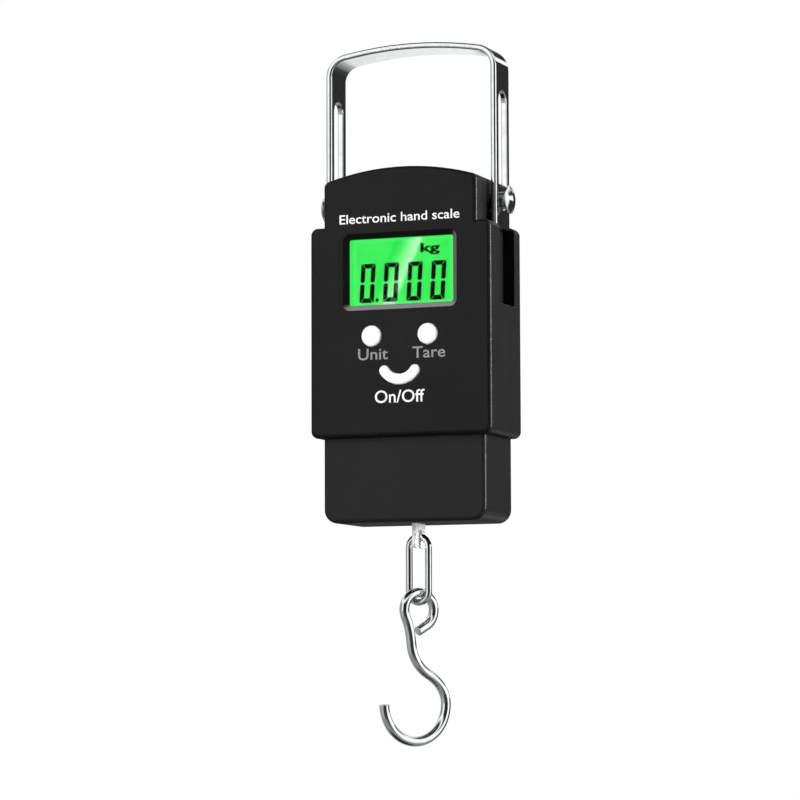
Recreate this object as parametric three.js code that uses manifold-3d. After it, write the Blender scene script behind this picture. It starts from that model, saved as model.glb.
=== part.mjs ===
// A portable digital fish scale: a metal bail that slides on two rivets, a stepped plastic
// housing with a display and three keys, and a hook that hangs on a chain link.
// Millimetres. +Z is up and the display faces -Y. The origin is the middle of the underside
// of the bail's grip, which is where the scale is held up.
import * as THREE from "three";
import { mergeVertices } from "three/addons/utils/BufferGeometryUtils.js";
import Module from "manifold-3d";

const wasm = await Module();
wasm.setup();

// ---------------------------------------------------------------- driving dimensions
const GAP = 0.3; // clearance left between pieces that touch
const WALL = 2; // housing wall

// bail: one bent strap, arched on top, with a long slot in each arm
const STRAP = { thick: 2.2, halfWidth: 33.35, halfDepth: 7.4, arch: 145, corner: 6.2, bottom: -67.5 };
const SLOT = { halfWidth: 4.2, top: -16.8, bottom: -60.4 };

// housing: an arched head, a wide middle and a narrower, thinner foot
const FRONT = -18.6;
const BACK = 14.4;
const HEAD = { halfWidth: 29.75, top: -45, arch: 98, corner: 2.5 };
const WIDE = { halfWidth: 35, top: -66.1, bottom: -143.1 };
const FOOT = { halfWidth: 31.35, bottom: -173.9, front: -14.9, back: 13.6 };
const EDGE = 1.5; // rounding of the housing's front and back edges
const PARTING = 2.4; // where the front shell meets the back shell
const POCKET = { inner: 30.6, halfDepth: 7.9, bottom: -95.3 };
const POCKET_FLOOR_Z = -97.8; // below this the inside of the middle is full width

// rivets that carry the housing on the bail
const RIVET = { z: -57, shank: 2, cap: 5.15, capRim: 35.6, capRise: 2, tail: 3.2 };
const COLLAR_RADIUS = 3.1;

// display stack, measured back from the front face
const WINDOW = { halfWidth: 20.1, top: -70.95, bottom: -95.1, flare: 1.8, depth: 1.8 };
const LENS = { front: -16.3, back: -15.3 };
const PANEL = { front: -15, back: -13 };
const BACKLIGHT = { front: -12.7, back: -11.2 };
const BOARD = { front: -10.6, back: -9, halfWidth: 24, top: -68.6, bottom: -131 };

// keys
const EYE = { x: 10.86, z: -106.6, radius: 3.88 };
const SMILE = { z: -115.67, radius: 6.98, halfWidth: 2.1, halfAngle: 1.007 };
const KEY = { proud: 0.8, flange: 1.1, dome: 0.6, foot: -15 };
const KEY_CLEARANCE = 0.27;

// load path inside the housing
const YOKE = { halfWidth: 27.4, thick: 2.5, halfDepth: 6, webTop: -63.5, earTop: -52.2 };
const CELL = { halfWidth: 7, halfDepth: 6, top: -66.3, bottom: -126 };
const HANGER = { halfThick: 0.75, halfWidth: 5, top: -113, bottom: -182.8, pinZ: -119 };

// chain link and hook
const LINK = { wire: 1.25, bend: 3.9, topZ: -178.65, bottomZ: -202.45, turn: -5 };
const HOLE = { z: -178.1, radius: 2.1 };
const HOOK = { wire: 1.8, eye: 6.4, eyeZ: -205.3, bowl: 13.4, bowlX: -1.8, bowlDrop: 34.1, turn: 55 };

// batteries and their door
const BATTERY = { x: 14.5, y: 6.4, radius: 5.25, length: 43.7, nub: 0.8 };
const BAY = { inner: 9, outer: 20, floor: 0.5, top: -77, bottom: -127.6, wall: 1.2 };
const DOOR = { halfWidth: 20.2, top: -76.8, bottom: -127.7, inner: 12.6 };

const SCREWS = [
  { x: -18, z: -53 },
  { x: 18, z: -53 },
  { x: -22, z: -166 },
  { x: 22, z: -166 },
];
const SCREW = { shank: 1.3, head: 2.6, seat: 8.3, headThick: 1.9, tip: -8 };

// ---------------------------------------------------------------- solids
const ALONG_X = new THREE.Matrix4().makeBasis(
  new THREE.Vector3(0, 1, 0),
  new THREE.Vector3(0, 0, 1),
  new THREE.Vector3(1, 0, 0),
);
const ALONG_Y = new THREE.Matrix4().makeBasis(
  new THREE.Vector3(1, 0, 0),
  new THREE.Vector3(0, 0, 1),
  new THREE.Vector3(0, -1, 0),
);

// turns a closed three.js geometry into a solid that can be joined and cut
function solid(geometry) {
  const plain = geometry.clone();
  plain.deleteAttribute("normal");
  plain.deleteAttribute("uv");
  const merged = mergeVertices(plain, 1e-4);
  const corners = merged.index.array;
  const faces = [];
  for (let i = 0; i < corners.length; i += 3) {
    const [a, b, c] = [corners[i], corners[i + 1], corners[i + 2]];
    if (a !== b && b !== c && c !== a) {
      faces.push(a, b, c);
    }
  }
  const mesh = new wasm.Mesh({
    numProp: 3,
    vertProperties: merged.attributes.position.array,
    triVerts: new Uint32Array(faces),
  });
  return new wasm.Manifold(mesh);
}

function join(first, ...others) {
  return others.reduce((whole, other) => whole.add(other), first);
}

function cut(first, ...others) {
  return others.reduce((whole, other) => whole.subtract(other), first);
}

function box(x, y, z) {
  const geometry = new THREE.BoxGeometry(x[1] - x[0], y[1] - y[0], z[1] - z[0]);
  geometry.translate((x[0] + x[1]) / 2, (y[0] + y[1]) / 2, (z[0] + z[1]) / 2);
  return solid(geometry);
}

// the outline as plain points, with the doubled ones where its curves meet taken out
function cleaned(shape, curveSegments) {
  const points = shape.getPoints(curveSegments);
  const kept = points.filter((point, i) => {
    const before = points[(i + points.length - 1) % points.length];
    return point.distanceTo(before) > 1e-3;
  });
  return new THREE.Shape(kept);
}

// a flat outline given thickness; edge rounds both rims
function extruded(shape, thick, edge, curveSegments) {
  const geometry = new THREE.ExtrudeGeometry(cleaned(shape, curveSegments), {
    depth: thick - 2 * edge,
    bevelEnabled: edge > 0,
    bevelThickness: edge,
    bevelSize: edge,
    bevelOffset: -edge,
    bevelSegments: edge < 1 ? 2 : 3,
  });
  return geometry.translate(0, 0, edge);
}

// outline in X and Z, from y[0] to y[1]
function plateY(shape, y, edge = 0, curveSegments = 8) {
  const geometry = extruded(shape, y[1] - y[0], edge, curveSegments);
  return solid(geometry.applyMatrix4(ALONG_Y).translate(0, y[1], 0));
}

// outline in Y and Z, from x[0] to x[1]
function plateX(shape, x, edge = 0, curveSegments = 8) {
  const geometry = extruded(shape, x[1] - x[0], edge, curveSegments);
  return solid(geometry.applyMatrix4(ALONG_X).translate(x[0], 0, 0));
}

function rodX(radius, x, y, z, sides = 20) {
  const geometry = new THREE.CylinderGeometry(radius, radius, x[1] - x[0], sides);
  return solid(geometry.rotateZ(Math.PI / 2).translate((x[0] + x[1]) / 2, y, z));
}

function rodY(radius, x, y, z, sides = 20) {
  const geometry = new THREE.CylinderGeometry(radius, radius, y[1] - y[0], sides);
  return solid(geometry.translate(x, (y[0] + y[1]) / 2, z));
}

function rodZ(radius, x, y, z, sides = 20) {
  const geometry = new THREE.CylinderGeometry(radius, radius, z[1] - z[0], sides);
  return solid(geometry.rotateX(Math.PI / 2).translate(x, y, (z[0] + z[1]) / 2));
}

// rectangle with rounded corners
function roundedRect(x, y, radius) {
  const shape = new THREE.Shape();
  shape.absarc(x[1] - radius, y[0] + radius, radius, -Math.PI / 2, 0);
  shape.absarc(x[1] - radius, y[1] - radius, radius, 0, Math.PI / 2);
  shape.absarc(x[0] + radius, y[1] - radius, radius, Math.PI / 2, Math.PI);
  shape.absarc(x[0] + radius, y[0] + radius, radius, Math.PI, 1.5 * Math.PI);
  shape.closePath();
  return shape;
}

// the two corners and the arch of a round-topped outline, as circles that meet smoothly
function archCircles(halfWidth, top, arch, corner) {
  const cornerX = halfWidth - corner;
  const archZ = top - arch;
  const cornerZ = archZ + Math.sqrt((arch - corner) ** 2 - cornerX ** 2);
  const meet = Math.atan2(cornerZ - archZ, cornerX);
  return { cornerX, cornerZ, archZ, meet };
}

function archLeftward(shape, halfWidth, top, arch, corner) {
  const { cornerX, cornerZ, archZ, meet } = archCircles(halfWidth, top, arch, corner);
  shape.absarc(cornerX, cornerZ, corner, 0, meet);
  shape.absarc(0, archZ, arch, meet, Math.PI - meet);
  shape.absarc(-cornerX, cornerZ, corner, Math.PI - meet, Math.PI);
}

function archRightward(shape, halfWidth, top, arch, corner) {
  const { cornerX, cornerZ, archZ, meet } = archCircles(halfWidth, top, arch, corner);
  shape.absarc(-cornerX, cornerZ, corner, Math.PI, Math.PI - meet, true);
  shape.absarc(0, archZ, arch, Math.PI - meet, meet, true);
  shape.absarc(cornerX, cornerZ, corner, meet, 0, true);
}

function archedBlock(halfWidth, top, arch, corner, bottom) {
  const shape = new THREE.Shape();
  shape.moveTo(-halfWidth, bottom);
  shape.lineTo(halfWidth, bottom);
  archLeftward(shape, halfWidth, top, arch, corner);
  shape.closePath();
  return shape;
}

// ---------------------------------------------------------------- the group of named pieces
const group = new THREE.Group();
group.name = "fish_scale";

const LOOKS = {
  chrome: { color: 0xd6d8da, roughness: 0.12, metalness: 1 },
  steel: { color: 0xa9adb0, roughness: 0.3, metalness: 1 },
  aluminium: { color: 0xc2c5c8, roughness: 0.45, metalness: 1 },
  casing: { color: 0x262626, roughness: 0.6, metalness: 0 },
  key: { color: 0xe8e8e4, roughness: 0.45, metalness: 0 },
  lens: { color: 0xdfe8e0, roughness: 0.08, metalness: 0 },
  display: { color: 0x40f35a, roughness: 0.3, metalness: 0 },
  board: { color: 0x1c5a34, roughness: 0.55, metalness: 0 },
  chip: { color: 0x161616, roughness: 0.5, metalness: 0 },
  rubber: { color: 0x3c3c3e, roughness: 0.85, metalness: 0 },
  film: { color: 0xb98a3c, roughness: 0.4, metalness: 0 },
  cellJacket: { color: 0x3d6f8e, roughness: 0.35, metalness: 0.2 },
};

function bufferGeometry(manifold) {
  const mesh = manifold.getMesh();
  const geometry = new THREE.BufferGeometry();
  geometry.setAttribute("position", new THREE.BufferAttribute(mesh.vertProperties, 3));
  geometry.setIndex(new THREE.BufferAttribute(mesh.triVerts, 1));
  geometry.computeVertexNormals();
  return geometry;
}

function addPiece(name, manifold, look, parent = group) {
  const material = new THREE.MeshStandardMaterial(LOOKS[look]);
  const mesh = new THREE.Mesh(bufferGeometry(manifold), material);
  mesh.name = name;
  parent.add(mesh);
  return mesh;
}

const SIDES = [
  { name: "left", sign: -1 },
  { name: "right", sign: 1 },
];

// ---------------------------------------------------------------- bail
function bailStrap() {
  const { thick, halfWidth, halfDepth, arch, corner, bottom } = STRAP;
  const shape = new THREE.Shape();
  shape.moveTo(halfWidth - thick, bottom);
  shape.lineTo(halfWidth, bottom);
  archLeftward(shape, halfWidth, thick, arch, corner);
  shape.lineTo(-halfWidth, bottom);
  shape.lineTo(thick - halfWidth, bottom);
  archRightward(shape, halfWidth - thick, 0, arch - thick, corner - thick);
  shape.closePath();
  const strap = plateY(shape, [-halfDepth, halfDepth], 0.5, 6);
  const slot = roundedRect([-SLOT.halfWidth, SLOT.halfWidth], [SLOT.bottom, SLOT.top], SLOT.halfWidth);
  return cut(strap, plateX(slot, [-halfWidth - 1, halfWidth + 1], 0, 5));
}

addPiece("bail_strap", bailStrap(), "chrome");

// ---------------------------------------------------------------- housing shells
function housingOuter() {
  const head = archedBlock(HEAD.halfWidth, HEAD.top, HEAD.arch, HEAD.corner, WIDE.top - 10);
  const wide = roundedRect([-WIDE.halfWidth, WIDE.halfWidth], [WIDE.bottom, WIDE.top], 2.6);
  const foot = roundedRect([-FOOT.halfWidth, FOOT.halfWidth], [FOOT.bottom, WIDE.bottom + 12], 5);
  return join(
    plateY(head, [FRONT, BACK], EDGE, 6),
    plateY(wide, [FRONT, BACK], EDGE, 3),
    plateY(foot, [FOOT.front, FOOT.back], EDGE, 4),
  );
}

function housingInner() {
  const y = [FRONT + WALL, BACK - WALL];
  const head = archedBlock(HEAD.halfWidth - WALL, HEAD.top - WALL, HEAD.arch - WALL, 1, WIDE.top - 10);
  const aside = POCKET.inner - WALL;
  const full = WIDE.halfWidth - WALL;
  const low = FOOT.halfWidth - WALL;
  return join(
    plateY(head, y),
    box([-aside, aside], y, [POCKET_FLOOR_Z - 1, WIDE.top - WALL]),
    box([-full, full], y, [WIDE.bottom + WALL, POCKET_FLOOR_Z]),
    box([-low, low], [FOOT.front + WALL, FOOT.back - WALL], [FOOT.bottom + WALL, WIDE.bottom + 5]),
  );
}

// side pockets that the bail's arms slide down into, open at the side and at the top
function armPocket(sign) {
  const shape = roundedRect([-POCKET.halfDepth, POCKET.halfDepth], [POCKET.bottom, WIDE.top + 4], 1);
  const x = [POCKET.inner, WIDE.halfWidth + 1];
  return plateX(shape, sign > 0 ? x : [-x[1], -x[0]], 0, 3);
}

function housingCuts() {
  const reach = WIDE.halfWidth + 2;
  return join(
    armPocket(-1),
    armPocket(1),
    rodX(RIVET.shank + GAP, [-reach, reach], 0, RIVET.z),
    box(
      [-HANGER.halfThick - 0.5, HANGER.halfThick + 0.5],
      [-HANGER.halfWidth - 0.6, HANGER.halfWidth + 0.6],
      [FOOT.bottom - 1, FOOT.bottom + WALL + 1],
    ),
  );
}

// the window flares outward from its throat to the front face
function windowCut() {
  const { halfWidth, top, bottom, flare, depth } = WINDOW;
  const throat = roundedRect([-halfWidth, halfWidth], [bottom, top], 0.9);
  const funnel = new THREE.ExtrudeGeometry(cleaned(throat, 4), {
    depth: 2,
    bevelThickness: depth,
    bevelSize: flare,
    bevelSegments: 1,
  });
  return join(
    plateY(throat, [FRONT + depth - 0.1, FRONT + WALL + 1], 0, 4),
    solid(funnel.applyMatrix4(ALONG_Y).translate(0, FRONT, 0)),
  );
}

function disc(x, z, radius) {
  const shape = new THREE.Shape();
  shape.absarc(x, z, radius, 0, 2 * Math.PI);
  return shape;
}

// crescent outline, grown by the given margin
function smileOutline(grow) {
  const { z, radius, halfWidth, halfAngle } = SMILE;
  const from = -Math.PI / 2 - halfAngle;
  const to = -Math.PI / 2 + halfAngle;
  const half = halfWidth + grow;
  const tip = (angle) => [radius * Math.cos(angle), z + radius * Math.sin(angle)];
  const shape = new THREE.Shape();
  shape.absarc(0, z, radius + half, from, to);
  shape.absarc(...tip(to), half, to, to + Math.PI);
  shape.absarc(0, z, radius - half, to, from, true);
  shape.absarc(...tip(from), half, from + Math.PI, from + 2 * Math.PI);
  shape.closePath();
  return shape;
}

function keyHoles() {
  const y = [FRONT - 1, FRONT + WALL + 1];
  const eye = EYE.radius + KEY_CLEARANCE;
  return join(
    plateY(disc(-EYE.x, EYE.z, eye), y, 0, 12),
    plateY(disc(EYE.x, EYE.z, eye), y, 0, 12),
    plateY(smileOutline(KEY_CLEARANCE), y, 0, 7),
  );
}

const OUTER = housingOuter();
const WALLS = cut(OUTER, housingInner());
const HOUSING_CUTS = housingCuts();
const FAR = 200;

function frontShell() {
  const split = PARTING - GAP / 2;
  const posts = SCREWS.map(({ x, z }) => rodY(3.3, x, [FRONT + 1, split], z));
  const bores = SCREWS.map(({ x, z }) => rodY(SCREW.shank + GAP, x, [SCREW.tip - 1, split + 1], z, 12));
  const half = join(WALLS, ...posts.map((post) => post.intersect(OUTER)));
  const shell = cut(half, HOUSING_CUTS, windowCut(), keyHoles(), ...bores);
  return cut(shell, box([-FAR, FAR], [split, FAR], [-FAR, FAR]));
}

// open-backed bays that hold the two cells
function batteryBay(sign) {
  const { inner, outer, floor, top, bottom, wall } = BAY;
  const shelf = box([inner - wall, outer + wall], [floor - wall, DOOR.inner], [bottom - wall, top + wall]);
  const room = box([inner, outer], [floor, DOOR.inner + 1], [bottom, top]);
  const bay = cut(shelf, room);
  return sign > 0 ? bay : bay.mirror([1, 0, 0]);
}

function doorOpening() {
  const { halfWidth, top, bottom } = DOOR;
  const side = halfWidth + GAP;
  const shape = roundedRect([-side, side], [bottom - GAP, top + GAP], 1.8);
  return plateY(shape, [BACK - WALL - 0.5, BACK + 1], 0, 3);
}

function backShell() {
  const split = PARTING + GAP / 2;
  const posts = SCREWS.map(({ x, z }) => rodY(3.7, x, [split, BACK - 1], z));
  const seats = SCREWS.map(({ x, z }) => rodY(SCREW.head + GAP, x, [SCREW.seat - GAP, BACK + 1], z));
  const bores = SCREWS.map(({ x, z }) => rodY(SCREW.shank + GAP, x, [split - 1, SCREW.seat], z, 12));
  const half = join(WALLS, batteryBay(-1), batteryBay(1), ...posts.map((post) => post.intersect(OUTER)));
  const shell = cut(half, HOUSING_CUTS, doorOpening(), ...seats, ...bores);
  return cut(shell, box([-FAR, FAR], [-FAR, split], [-FAR, FAR]));
}

addPiece("front_shell", frontShell(), "casing");
addPiece("back_shell", backShell(), "casing");

// ---------------------------------------------------------------- display and board
const STRIP_Y = [BACKLIGHT.front, BOARD.front - GAP];
const between = ({ front, back }) => [front, back];
addPiece("window_lens", box([-22.3, 22.3], between(LENS), [-97.6, -68.9]), "lens");
addPiece("display_panel", box([-21.5, 21.5], between(PANEL), [-97.8, -69.2]), "display");
addPiece("display_backlight", box([-20.5, 20.5], between(BACKLIGHT), [-94.6, -70]), "display");
addPiece("contact_strip", box([-17, 17], STRIP_Y, [-97.2, -95.4]), "rubber");

const boardShape = roundedRect([-BOARD.halfWidth, BOARD.halfWidth], [BOARD.bottom, BOARD.top], 1.5);
addPiece("circuit_board", plateY(boardShape, [BOARD.front, BOARD.back], 0, 3), "board");
addPiece("controller_chip", box([-5, 5], [BOARD.back + GAP, -7.3], [-94, -84]), "chip");

// ---------------------------------------------------------------- keys and their switches
const eyeOutline = (x) => (grow) => disc(x, EYE.z, EYE.radius + grow);
const KEYS = [
  { name: "unit", outline: eyeOutline(-EYE.x), x: -EYE.x, z: EYE.z },
  { name: "tare", outline: eyeOutline(EYE.x), x: EYE.x, z: EYE.z },
  { name: "power", outline: smileOutline, x: 0, z: SMILE.z - SMILE.radius },
];

function key({ outline, x, z }) {
  const flangeFront = FRONT + WALL + GAP;
  const flangeBack = flangeFront + KEY.flange;
  return join(
    plateY(outline(0), [FRONT - KEY.proud, flangeFront + KEY.dome], KEY.dome, 7),
    plateY(outline(1.2), [flangeFront, flangeBack], 0, 6),
    rodY(1.5, x, [flangeBack - 0.1, KEY.foot], z, 12),
  );
}

// a square switch on the board with a round plunger
function keySwitch({ x, z }) {
  const body = box([x - 3, x + 3], [-14, BOARD.front - GAP], [z - 3, z + 3]);
  return join(body, rodY(1.5, x, [-14.4, -13.9], z, 12));
}

for (const spec of KEYS) {
  addPiece(`${spec.name}_key`, key(spec), "key");
  addPiece(`${spec.name}_switch`, keySwitch(spec), "chip");
}

// ---------------------------------------------------------------- load path
// bent steel bracket that takes the rivets in its ears and the load cell under its web
function loadYoke() {
  const { halfWidth, thick, halfDepth, webTop, earTop } = YOKE;
  const webBottom = webTop - thick;
  const web = box([-halfWidth, halfWidth], [-halfDepth, halfDepth], [webBottom, webTop]);
  const ear = roundedRect([-halfDepth, halfDepth], [webBottom, earTop], 2);
  const ears = SIDES.map(({ sign }) => {
    const x = [halfWidth - thick, halfWidth];
    return plateX(ear, sign > 0 ? x : [-x[1], -x[0]], 0, 3);
  });
  return cut(
    join(web, ...ears),
    rodX(RIVET.shank + GAP, [-halfWidth - 1, halfWidth + 1], 0, RIVET.z),
    rodZ(2.8, 0, 0, [webBottom - 1, webTop + 1]),
  );
}

// aluminium bar cut into an S, so that it bends a little as it is pulled
function loadCell() {
  const { halfWidth, halfDepth, top, bottom } = CELL;
  const y = [-halfDepth, halfDepth];
  const through = [-halfDepth - 1, halfDepth + 1];
  const arm = 3.5;
  return cut(
    box([-halfWidth, halfWidth], y, [bottom, top]),
    box([-arm, halfWidth + 1], through, [-80, -78]),
    box([-halfWidth - 1, arm], through, [-103, -101]),
    rodY(4, 0, through, -90.5),
    rodZ(2.8, 0, 0, [top - 10, top + 1]),
    box([-HANGER.halfThick - 0.4, HANGER.halfThick + 0.4], through, [bottom - 1, HANGER.top + 0.5]),
    rodX(2.3, [-halfWidth - 1, halfWidth + 1], 0, HANGER.pinZ),
  );
}

function yokeBolt() {
  const head = rodZ(4.2, 0, 0, [YOKE.webTop + GAP, YOKE.webTop + 3.3], 6);
  return join(head, rodZ(2.5, 0, 0, [CELL.top - 9.4, YOKE.webTop + 0.5]));
}

function hangerPlate() {
  const { halfThick, halfWidth, top, bottom, pinZ } = HANGER;
  const shape = roundedRect([-halfWidth, halfWidth], [bottom, top], 1.6);
  const plate = plateX(shape, [-halfThick, halfThick], 0, 3);
  return cut(plate, rodX(2.3, [-2, 2], 0, pinZ), rodX(HOLE.radius, [-2, 2], 0, HOLE.z, 24));
}

addPiece("load_yoke", loadYoke(), "steel");
addPiece("yoke_bolt", yokeBolt(), "steel");
addPiece("load_cell", loadCell(), "aluminium");
addPiece("hanger_plate", hangerPlate(), "steel");
addPiece("hanger_pin", rodX(2, [-6.7, 6.7], 0, HANGER.pinZ), "steel");
const GAUGE_Y = [-CELL.halfDepth - 0.6, -CELL.halfDepth - 0.4];
for (const { name, sign } of SIDES) {
  const x = sign > 0 ? [4.2, 6.8] : [-6.8, -4.2];
  addPiece(`strain_gauge_${name}`, box(x, GAUGE_Y, [-94, -87]), "film");
}

// ---------------------------------------------------------------- rivets
// domed cap, shank through collar, housing wall and yoke ear, and a flattened tail inside
function rivet() {
  const { cap, capRim, capRise, shank, tail } = RIVET;
  const rim = 0.4;
  const rise = capRise - rim;
  const round = (cap ** 2 + rise ** 2) / (2 * rise);
  const steps = 6;
  const profile = [new THREE.Vector2(0, 0), new THREE.Vector2(cap, 0)];
  for (let i = 0; i <= steps; i += 1) {
    const angle = Math.asin(cap / round) * (1 - i / steps);
    profile.push(new THREE.Vector2(round * Math.sin(angle), rim + rise - round * (1 - Math.cos(angle))));
  }
  const dome = new THREE.LatheGeometry(profile, 28);
  const inner = YOKE.halfWidth - YOKE.thick - GAP;
  return join(
    solid(dome.rotateZ(-Math.PI / 2).translate(capRim, 0, 0)),
    rodX(shank, [inner - 0.5, capRim + 0.5], 0, 0),
    rodX(tail, [inner - 1.3, inner], 0, 0),
  );
}

function collar() {
  const x = [HEAD.halfWidth + GAP, RIVET.capRim - GAP];
  return cut(rodX(COLLAR_RADIUS, x, 0, 0, 24), rodX(RIVET.shank + GAP, [x[0] - 1, x[1] + 1], 0, 0));
}

for (const { name, sign } of SIDES) {
  const side = new THREE.Group();
  side.position.set(0, 0, RIVET.z);
  side.rotation.z = sign > 0 ? 0 : Math.PI;
  group.add(side);
  addPiece(`handle_rivet_${name}`, rivet(), "chrome", side);
  addPiece(`rivet_collar_${name}`, collar(), "steel", side);
}

// ---------------------------------------------------------------- batteries and contacts
const BAY_MIDDLE = (BAY.top + BAY.bottom) / 2;
const BAY_HALF = (BAY.top - BAY.bottom) / 2;
const CONTACT_THICK = 0.4;
const SPRING = { wire: 0.3, wide: 4, narrow: 2.2, turns: 4 };

function batteryCell() {
  const { radius, length, nub } = BATTERY;
  const profile = [
    [0, 0],
    [radius - 0.3, 0],
    [radius, 0.3],
    [radius, length - 0.4],
    [radius - 0.4, length],
    [2, length],
    [1.9, length + nub],
    [0, length + nub],
  ];
  const points = profile.map(([r, h]) => new THREE.Vector2(r, h));
  const top = BAY_HALF - GAP - CONTACT_THICK - GAP;
  const cell = new THREE.LatheGeometry(points, 28).rotateX(Math.PI / 2);
  return solid(cell.translate(0, 0, top - length - nub));
}

class ConeHelix extends THREE.Curve {
  constructor(low, high) {
    super();
    this.low = low;
    this.high = high;
  }

  getPoint(t) {
    const angle = 2 * Math.PI * SPRING.turns * t;
    const radius = SPRING.wide + (SPRING.narrow - SPRING.wide) * t;
    const z = this.low + (this.high - this.low) * t;
    return new THREE.Vector3(radius * Math.cos(angle), radius * Math.sin(angle), z);
  }
}

function contactSpring() {
  const seat = GAP + CONTACT_THICK + GAP - BAY_HALF;
  const cellBase = BAY_HALF - GAP - CONTACT_THICK - GAP - BATTERY.length - BATTERY.nub;
  const helix = new ConeHelix(seat + SPRING.wire, cellBase - GAP - SPRING.wire);
  const section = cleaned(disc(0, 0, SPRING.wire), 3);
  const wire = new THREE.ExtrudeGeometry(section, { extrudePath: helix, steps: 44 });
  return solid(wire);
}

function contactPlate(low) {
  return box([-4.4, 4.4], [-4.4, 4.4], [low, low + CONTACT_THICK]);
}

for (const { name, sign } of SIDES) {
  const bay = new THREE.Group();
  bay.position.set(sign * BATTERY.x, BATTERY.y, BAY_MIDDLE);
  bay.rotation.y = sign > 0 ? Math.PI : 0;
  group.add(bay);
  addPiece(`battery_${name}`, batteryCell(), "cellJacket", bay);
  addPiece(`contact_spring_${name}`, contactSpring(), "steel", bay);
  addPiece(`spring_plate_${name}`, contactPlate(GAP - BAY_HALF), "steel", bay);
  addPiece(`stud_plate_${name}`, contactPlate(BAY_HALF - GAP - CONTACT_THICK), "steel", bay);
}

// cover with two hooked tabs below, a lug above and three grip ribs
function batteryDoor() {
  const { halfWidth, top, bottom, inner } = DOOR;
  const cover = plateY(roundedRect([-halfWidth, halfWidth], [bottom, top], 1.5), [inner, BACK], 0.3, 2);
  const tabs = [-4.5, 4.5].flatMap((x) => [
    box([x - 2, x + 2], [inner - 1.5, inner + 0.5], [bottom + 0.1, bottom + 2.2]),
    box([x - 2, x + 2], [inner - 1.5, inner - 0.55], [bottom - 1.9, bottom + 2.2]),
  ]);
  const lug = box([-3.5, 3.5], [inner - 1.2, inner + 0.5], [top - 3, top - 0.2]);
  const ribs = [0, 1, 2].map((i) => {
    const z = top - 5 - 2.4 * i;
    return box([-6, 6], [BACK - 0.5, BACK + 0.5], [z - 0.5, z + 0.5]);
  });
  return join(cover, ...tabs, lug, ...ribs);
}

addPiece("battery_door", batteryDoor(), "casing");

// ---------------------------------------------------------------- housing screws
function housingScrew(x, z) {
  const { shank, head, seat, headThick, tip } = SCREW;
  const body = join(rodY(head, x, [seat, seat + headThick], z), rodY(shank, x, [tip, seat + 0.1], z, 12));
  const recess = [seat + headThick - 1, seat + headThick + 1];
  return cut(
    body,
    box([x - 1.6, x + 1.6], recess, [z - 0.35, z + 0.35]),
    box([x - 0.35, x + 0.35], recess, [z - 1.6, z + 1.6]),
  );
}

SCREWS.forEach(({ x, z }, i) => addPiece(`housing_screw_${i + 1}`, housingScrew(x, z), "steel"));

// ---------------------------------------------------------------- chain link and hook
const DEGREE = Math.PI / 180;

function chainLink() {
  const { wire, bend, topZ, bottomZ } = LINK;
  const high = topZ - bend;
  const low = bottomZ + bend;
  const ring = () => new THREE.TorusGeometry(bend, wire, 12, 36).rotateX(Math.PI / 2);
  const across = [-bend - 3, bend + 3];
  return join(
    cut(solid(ring().translate(0, 0, high)), box(across, [-3, 3], [high - 9, high])),
    cut(solid(ring().translate(0, 0, low)), box(across, [-3, 3], [low, low + 9])),
    rodZ(wire, -bend, 0, [low, high], 12),
    rodZ(wire, bend, 0, [low, high], 12),
  );
}

// a flat path drawn in X and Z
class UprightPath extends THREE.Curve {
  constructor(path) {
    super();
    this.path = path;
  }

  getPoint(t) {
    const point = this.path.getPoint(t);
    return new THREE.Vector3(point.x, 0, point.y);
  }
}

// a smooth bend from one point and heading to another, headings in degrees
function bendTo(path, from, fromHeading, to, toHeading) {
  const reach = 0.36 * Math.hypot(to[0] - from[0], to[1] - from[1]);
  path.bezierCurveTo(
    from[0] + reach * Math.cos(fromHeading * DEGREE),
    from[1] + reach * Math.sin(fromHeading * DEGREE),
    to[0] - reach * Math.cos(toHeading * DEGREE),
    to[1] - reach * Math.sin(toHeading * DEGREE),
    to[0],
    to[1],
  );
}

// closed eye, S-bent shank and round bowl, as one bent wire with a flat-cut tip
function hook() {
  const { wire, eye, eyeZ, bowl, bowlX, bowlDrop } = HOOK;
  const eyeEnd = -91;
  const eyeLeave = 205;
  const leave = [eye * Math.cos(eyeLeave * DEGREE), eye * Math.sin(eyeLeave * DEGREE)];
  const waist = [-3.3, -13];
  const elbow = [4.4, -23.5];
  const bowlStart = [bowlX + bowl, -bowlDrop];
  const path = new THREE.Path();
  path.absarc(0, 0, eye, eyeEnd * DEGREE, eyeLeave * DEGREE);
  bendTo(path, leave, eyeLeave + 90, waist, 276);
  bendTo(path, waist, 276, elbow, 332);
  bendTo(path, elbow, 332, bowlStart, 270);
  path.absarc(bowlX, -bowlDrop, bowl, 0, -Math.PI, true);
  const section = cleaned(disc(0, 0, wire), 5);
  const tube = new THREE.ExtrudeGeometry(section, { extrudePath: new UprightPath(path), steps: 76 });
  return solid(tube.translate(0, 0, eyeZ));
}

const linkTurn = new THREE.Group();
linkTurn.rotation.z = LINK.turn * DEGREE;
group.add(linkTurn);
addPiece("chain_link", chainLink(), "chrome", linkTurn);

const hookTurn = new THREE.Group();
hookTurn.rotation.z = HOOK.turn * DEGREE;
group.add(hookTurn);
addPiece("hook", hook(), "chrome", hookTurn);

export default group;
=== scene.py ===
# A portable digital fish scale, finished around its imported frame.
# Shapes are drawn in millimetres and stored in metres. +Z is up and the display faces -Y.
from math import asin, atan2, cos, dist, pi, radians, sin, sqrt
from types import SimpleNamespace as Sizes

import bmesh
import bpy
from mathutils import Matrix, Vector


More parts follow.
